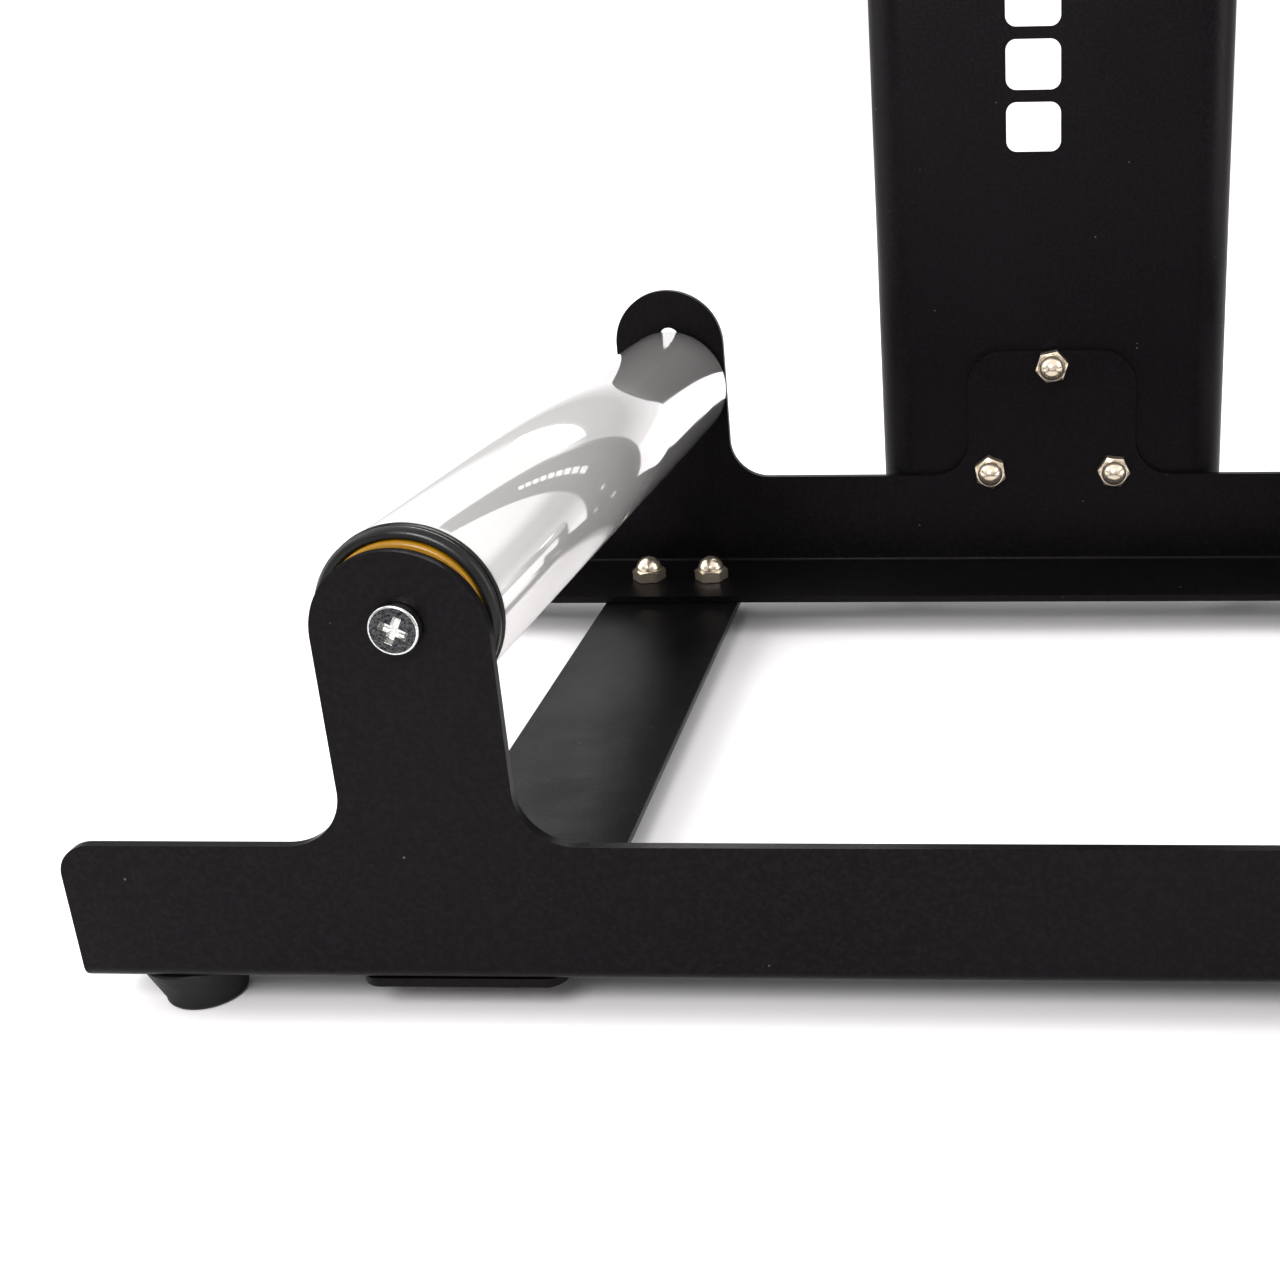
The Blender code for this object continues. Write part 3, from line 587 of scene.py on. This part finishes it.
def acorn_nut():
    shoulder = 0.8 * NUT_HEX_HEIGHT
    rise = NUT_HEIGHT - NUT_HEX_HEIGHT
    quarter = arc((0.0, 0.0), 1.0, 90, 0)
    dome = [(DOME_RADIUS * abs(across), NUT_HEX_HEIGHT + rise * up) for across, up in quarter]
    dome[0] = (0.0, NUT_HEIGHT)
    dome += [(DOME_RADIUS, shoulder), (0.0, shoulder)]
    bore_depth = NUT_HEX_HEIGHT + rise / 2
    bore = cylinders([(0.0, 0.0, 0.0)], THREAD_BORE, 2 * bore_depth, "Z", ROUND_STEPS // 2)
    nut = chamfered_hexagon(NUT_HEX_HEIGHT, 0.0)
    return cut(nut, ("UNION", turned(dome)), ("DIFFERENCE", bore))


def hex_bolt(shank):
    head = chamfered_hexagon(BOLT_HEAD_HEIGHT, 0.0)
    head.transform(Matrix.Rotation(math.pi, 4, "X"))
    tip = 0.15 * THREAD_RADIUS
    stem = [(0.0, shank), (0.85 * THREAD_RADIUS, shank), (THREAD_RADIUS, shank - tip)]
    stem += [(THREAD_RADIUS, -BOLT_HEAD_HEIGHT / 2), (0.0, -BOLT_HEAD_HEIGHT / 2)]
    return cut(head, ("UNION", turned(stem, ROUND_STEPS // 2)))


def make_fasteners():
    nut = acorn_nut()
    bolt = hex_bolt(2 * SHEET + 3 * GAP + NUT_HEX_HEIGHT)
    rows = {"near": FRONT_Y + FLANGE_BOLT_INSET, "far": BACK_Y - FLANGE_BOLT_INSET}
    for row, at_y in rows.items():
        for number, spot in enumerate(flange_bolt_places(at_y, 0.0)):
            turn = Matrix.Rotation(math.radians(FLANGE_NUT_TURN), 4, "Z")
            top = Matrix.Translation(Vector(spot) + Vector((0.0, 0.0, FLANGE_TOP + GAP)))
            under = Matrix.Translation(Vector(spot) + Vector((0.0, 0.0, BAR_LOW.z - GAP)))
            add_fastener(f"{row}_flange_nut_{number + 1}", nut, top @ turn)
            add_fastener(f"{row}_flange_bolt_{number + 1}", bolt, under @ turn)
    forward = Matrix.Rotation(math.pi / 2, 4, "X")
    for number, spot in enumerate(post_bolt_places(0.0)):
        turn = Matrix.Rotation(math.radians(POST_NUT_TURNS[number]), 4, "Z")
        front = Matrix.Translation(Vector(spot) + Vector((0.0, BACK_Y - SHEET - GAP, 0.0)))
        behind = Matrix.Translation(Vector(spot) + Vector((0.0, POST_LOW.y + SHEET + GAP, 0.0)))
        add_fastener(f"post_nut_{number + 1}", nut, front @ forward @ turn)
        add_fastener(f"post_bolt_{number + 1}", bolt, behind @ forward @ turn)


def add_fastener(node, mesh, matrix):
    shape = mesh.copy()
    shape.transform(matrix)
    piece(node + "_bright", shape, "nickel_fastener", "frame", node, 0.00018, 20.0)


def make_feet():
    radius = (FOOT_HIGH.x - FOOT_LOW.x) / 2
    top = FOOT_HIGH.z
    recess = FOOT_RECESS
    side = [(radius - FOOT_EDGE, top), (radius, top - FOOT_EDGE)]
    edge = arc((FOOT_LOW_RADIUS - 0.0011, FOOT_ROUND), FOOT_ROUND, 25, -90, 6)
    inner = [(recess, 0.0), (recess, recess), (FOOT_HOLE, recess), (FOOT_HOLE, top)]
    for row, at_y in {"near": FRONT_Y + FOOT_INSET, "far": BACK_Y - FOOT_INSET}.items():
        for end, at_x in {"left": -FOOT_X, "right": FOOT_X}.items():
            foot = turned(side + edge + inner)
            foot.transform(Matrix.Translation((at_x, at_y, 0.0)))
            node = f"{row}_{end}_foot"
            piece(node + "_cone", foot, "rubber_foot", "frame", node, 0.0002, 40.0)
            refinish(node + "_screw", "bright_zinc")


# ---------------------------------------------------------------- rollers

def along_axle(pivot, start, turn_round=False):
    """Lays a turned solid's Z along an axle, its zero at this distance from the pivot."""
    lay = Matrix.Rotation(math.pi / 2 if turn_round else -math.pi / 2, 4, "X")
    return pivot @ Matrix.Translation((0.0, start, 0.0)) @ lay


def laid(mesh, pivot, start, turn_round=False):
    mesh.transform(along_axle(pivot, start, turn_round))
    return mesh


def tube_shape():
    length = EAR_SPAN - NEAR_TUBE_END - FAR_TUBE_END
    inner = TUBE_RADIUS - TUBE_WALL
    edge = TUBE_EDGE
    profile = [(TUBE_RADIUS - edge, length), (TUBE_RADIUS, length - edge), (TUBE_RADIUS, edge)]
    profile += [(TUBE_RADIUS - edge, 0.0), (inner, 0.0), (inner, length)]
    return turned(profile, ROLLER_STEPS)


def cap_shape(wide):
    """An end cap: a disc outside the tube or a lip inside it, and a hub for the bearing."""
    hub = TUBE_RADIUS - TUBE_WALL - GAP
    disc = DISC_RADIUS if wide else hub
    shoulder = NEAR_TUBE_END + GAP - CAP_START if wide else FAR_CAP_LIP
    seat = BEARING_RADIUS + GAP
    hub_end = shoulder + CAP_HUB_LENGTH
    eye = AXLE_RADIUS + 0.002
    rib = 0.5 * (disc + seat)
    profile = [(hub, hub_end), (hub, shoulder), (disc, shoulder)]
    profile += [(disc, 0.001), (disc - 0.0004, 0.0003), (disc - 0.001, 0.0)]
    profile += [(rib, 0.0), (rib - CAP_RELIEF, CAP_RELIEF)]
    profile += [(eye + 0.003, CAP_RELIEF), (eye + 0.0024, 0.0)]
    profile += [(eye, 0.0), (eye, CAP_WALL), (seat, CAP_WALL), (seat, hub_end)]
    return turned(profile, ROLLER_STEPS)


def ring_shape():
    """The ring's section, from its thin rim over a groove to the fat bead at the near end."""
    inner = DISC_RADIUS + GAP
    rim = RING_RIM
    width = NEAR_TUBE_END - GAP - RING_START
    profile = [(rim - 0.0003, width), (rim - 0.00008, width - 0.0001), (rim, width - 0.0003)]
    profile += [(rim, width - 0.0008), (rim - 0.0002, width - 0.0010)]
    profile += [(RING_GROOVE, width - 0.0012)]
    profile += arc((BEAD_CENTRE, BEAD_RADIUS), BEAD_RADIUS, 80, -90, 20)
    profile += [(inner + 0.0004, 0.0), (inner, 0.0004), (inner, width)]
    return turned(profile, ROLLER_STEPS)


def axle_shape():
    length = EAR_SPAN - 2 * AXLE_PLAY
    edge = AXLE_EDGE
    deep = THREAD_DEPTH
    profile = [(0.0, length - deep), (THREAD_BORE, length - deep), (THREAD_BORE, length)]
    profile += [(AXLE_RADIUS - edge, length), (AXLE_RADIUS, length - edge), (AXLE_RADIUS, edge)]
    profile += [(AXLE_RADIUS - edge, 0.0), (THREAD_BORE, 0.0), (THREAD_BORE, deep), (0.0, deep)]
    return turned(profile)


def recess_bar(turn, face):
    """One tapered bar of a screw's cross recess."""
    work = bmesh.new()
    size = Matrix.Diagonal((RECESS_LENGTH, RECESS_WIDTH, 2 * RECESS_DEPTH, 1.0))
    shape = Matrix.Rotation(math.radians(turn), 4, "Z") @ size
    bmesh.ops.create_cube(work, size=1.0, matrix=Matrix.Translation((0.0, 0.0, face)) @ shape)
    for corner in work.verts:
        if corner.co.z > face:
            corner.co.x *= RECESS_TAPER
            corner.co.y *= RECESS_TAPER
    return finished_mesh(work)


def screw_shape():
    low = -SCREW_HEAD_HEIGHT
    stem = [(0.0, SCREW_REACH), (0.85 * THREAD_RADIUS, SCREW_REACH)]
    stem += [(THREAD_RADIUS, SCREW_REACH - 0.0006), (THREAD_RADIUS, 0.0), (SCREW_HEAD_RADIUS, 0.0)]
    centre = (SCREW_HEAD_RADIUS - SCREW_ROUND, low + SCREW_ROUND)
    rim = arc(centre, SCREW_ROUND, 0, -90, 8)
    blank = turned(stem + rim + [(0.0, low)])
    return cut(blank, *[("DIFFERENCE", recess_bar(turn, low)) for turn in RECESS_TURNS])


def make_screw(node, body, pivot, seat, turn_round):
    """A round-head screw whose flat outer face gets a darker copy of the zinc, painted shade
    standing for the dark reflection on that face, against its brighter rim and recess.
    """
    screw = screw_shape()
    outer = -0.99 * SCREW_HEAD_HEIGHT
    faces = [face.index for face in screw.polygons
             if face.normal.z < -0.999 and face.center.z < outer]
    screw = laid(screw, pivot, seat, turn_round)
    made = piece(node + "_head", screw, "bright_zinc", body, node, 0.00012, 25.0)
    # The flat outer face takes the darker zinc copy, painted shade for its dark reflection.
    made.data.materials.append(MATERIALS["shaded_screw_face"])
    for index in faces:
        made.data.polygons[index].material_index = 1


def make_roller(side, at_x, droop, far_screw, axle_body):
    origin = Matrix.Translation((at_x, PIVOT.y, PIVOT.z))
    pivot = origin @ Matrix.Rotation(-droop, 4, "X")
    far_ear = NEAR_EAR + EAR_SPAN
    roller = side + "_roller"
    tube = laid(tube_shape(), pivot, NEAR_EAR + NEAR_TUBE_END)
    piece(side + "_tube_chrome", tube, "chromed_tube", roller, side + "_roller_tube")
    ring = laid(ring_shape(), pivot, NEAR_EAR + RING_START)
    piece(side + "_ring_bead", ring, "black_ring", roller, side + "_roller_ring", 0.00015, 40.0)
    near = laid(cap_shape(True), pivot, NEAR_EAR + CAP_START)
    piece(side + "_near_cap_amber", near, "amber_cap", roller, side + "_near_cap", 0.0002, 40.0)
    far = laid(cap_shape(False), pivot, far_ear - FAR_TUBE_END, True)
    piece(side + "_far_cap_amber", far, "amber_cap", roller, side + "_far_cap", 0.0002, 40.0)
    axle = laid(axle_shape(), pivot, NEAR_EAR + AXLE_PLAY)
    piece(side + "_axle_rod", axle, "bright_zinc", axle_body, side + "_axle", 0.0002, 40.0)
    seat = SHEET / 2 + AXLE_PLAY
    make_screw(side + "_near_screw", axle_body, pivot, -seat, False)
    if far_screw:
        make_screw(side + "_far_screw", axle_body, pivot, far_ear + SHEET + AXLE_PLAY, True)
    for end in ("near", "far"):
        refinish(f"{side}_{end}_bearing", "bearing_steel")


# ---------------------------------------------------------------- print, stage and camera

def make_print():
    """Plain rounded blocks up the post, in place of its lettering."""
    low = RAIL_BASE + 0.188
    width = 0.0235
    height = 0.0205
    pitch = 0.0255
    corner = 0.0045
    thick = 0.00012
    centre_x = -0.0077
    count = 9
    outline = rounded_rectangle(width / 2 - corner, height / 2 - corner, corner)
    stand_off = thick / 2 + 0.00001
    for number in range(count):
        at_z = low + height / 2 + number * pitch
        matrix = Matrix.Translation((centre_x, 0.0, at_z)) @ upright(POST_LOW.y - stand_off)
        block = piece(
            f"post_print_{number + 1}", plate(outline, thick, matrix), "black_powder_coat",
            "frame", faces_material="white_print")
        for polygon in block.data.polygons:
            polygon.use_smooth = False


def make_floor():
    half_size = 30.0
    below_feet = 0.0002
    work = bmesh.new()
    bmesh.ops.create_grid(work, x_segments=1, y_segments=1, size=half_size)
    floor = bpy.data.objects.new("floor", finished_mesh(work))
    bpy.context.scene.collection.objects.link(floor)
    made, tree, shader = shader_material("pale_floor", Roughness=0.7, Specular_IOR_Level=0.1)
    tone = mix(tree, noise(tree, 3.0, 2.0), (0.90, 0.885, 0.895), (0.88, 0.865, 0.875))
    tree.links.new(tone, shader.inputs["Base Color"])
    floor.data.materials.append(made)
    floor.location.z = -below_feet


def make_world():
    """A bright ceiling over a dimmer band of wall that pales towards the floor."""
    horizon = (1.05, 1.04, 1.05)
    wall = (0.58, 0.58, 0.58)
    ceiling = (1.27, 1.26, 1.26)
    world = bpy.data.worlds.new("studio")
    world.use_nodes = True
    tree = world.node_tree
    place = add_node(tree, "ShaderNodeTexCoord")
    split = add_node(tree, "ShaderNodeSeparateXYZ")
    tree.links.new(place.outputs["Generated"], split.inputs["Vector"])
    low = mix(tree, ramp(tree, split.outputs["Z"], 0.0, 0.16, 0.0, 1.0), horizon, wall)
    colour = mix(tree, ramp(tree, split.outputs["Z"], 0.36, 0.50, 0.0, 1.0), low, ceiling)
    tree.links.new(colour, tree.nodes["Background"].inputs["Color"])
    bpy.context.scene.world = world


def make_lights():
    """A broad sun and four softboxes, each with its place, size and power."""
    target = Vector((0.0, 0.0, 0.2))
    sun = bpy.data.lights.new("overhead", "SUN")
    sun.energy = 0.45
    sun.angle = math.radians(60)
    lamp = bpy.data.objects.new("overhead", sun)
    lamp.rotation_euler = (math.radians(-10), math.radians(-30), 0.0)
    bpy.context.scene.collection.objects.link(lamp)
    for name, spot, size, power in (
        ("front_softbox", (-0.20, -0.80, 0.60), (0.35, 0.25), 5.5),
        ("left_softbox", (-1.35, -0.05, 0.60), (1.1, 1.2), 6.5),
        ("right_softbox", (1.35, -0.15, 0.60), (0.8, 1.2), 10.0),
        ("back_softbox", (-0.25, 1.60, 1.05), (1.0, 0.35), 8.0),
    ):
        area = bpy.data.lights.new(name, "AREA")
        area.energy = power
        area.shape = "RECTANGLE"
        area.size, area.size_y = size
        box = bpy.data.objects.new(name, area)
        box.location = spot
        box.visible_camera = False
        aim = target - Vector(spot)
        box.rotation_euler = aim.to_track_quat("-Z", "Y").to_euler()
        bpy.context.scene.collection.objects.link(box)


def make_camera():
    """A level-rail view from in front and above, with the stand's left half in the picture."""
    lens_widths = 1.347     # focal length over picture width
    sensor = 36.0
    shift_right = 0.253
    shift_up = 0.0012
    pitch = math.radians(22.22)
    heading = math.radians(3.0)
    roll = math.radians(-1.25)
    camera = bpy.data.cameras.new("camera")
    camera.sensor_width = sensor
    camera.lens = lens_widths * sensor
    camera.shift_x = -shift_right
    camera.shift_y = shift_up
    camera.clip_end = 100.0
    viewer = bpy.data.objects.new("camera", camera)
    turn = Matrix.Rotation(heading, 4, "Z") @ Matrix.Rotation(math.pi / 2 - pitch, 4, "X")
    right_of_middle = -0.0022
    before_front = 0.4131
    above_rail = 0.2742
    place = (right_of_middle, FRONT_Y - before_front, RAIL_BASE + above_rail)
    spot = Matrix.Translation(place)
    viewer.matrix_world = spot @ turn @ Matrix.Rotation(roll, 4, "Z")
    bpy.context.scene.collection.objects.link(viewer)
    bpy.context.scene.camera = viewer


make_camera()
make_world()
make_lights()
make_floor()
bpy.context.scene.view_settings.view_transform = "Standard"
bpy.context.scene.view_settings.gamma = 0.85
make_rail("near_rail", FRONT_Y, 1, False)
make_rail("far_rail", BACK_Y, -1, True)
make_crossbar("left_crossbar", -1)
make_crossbar("right_crossbar", 1)
make_post()
make_post_cap()
make_print()
make_fasteners()
make_feet()
make_roller("left", -EAR_X, DROOP, False, "left_axle_set")
make_roller("right", EAR_X, 0.0, True, "frame")
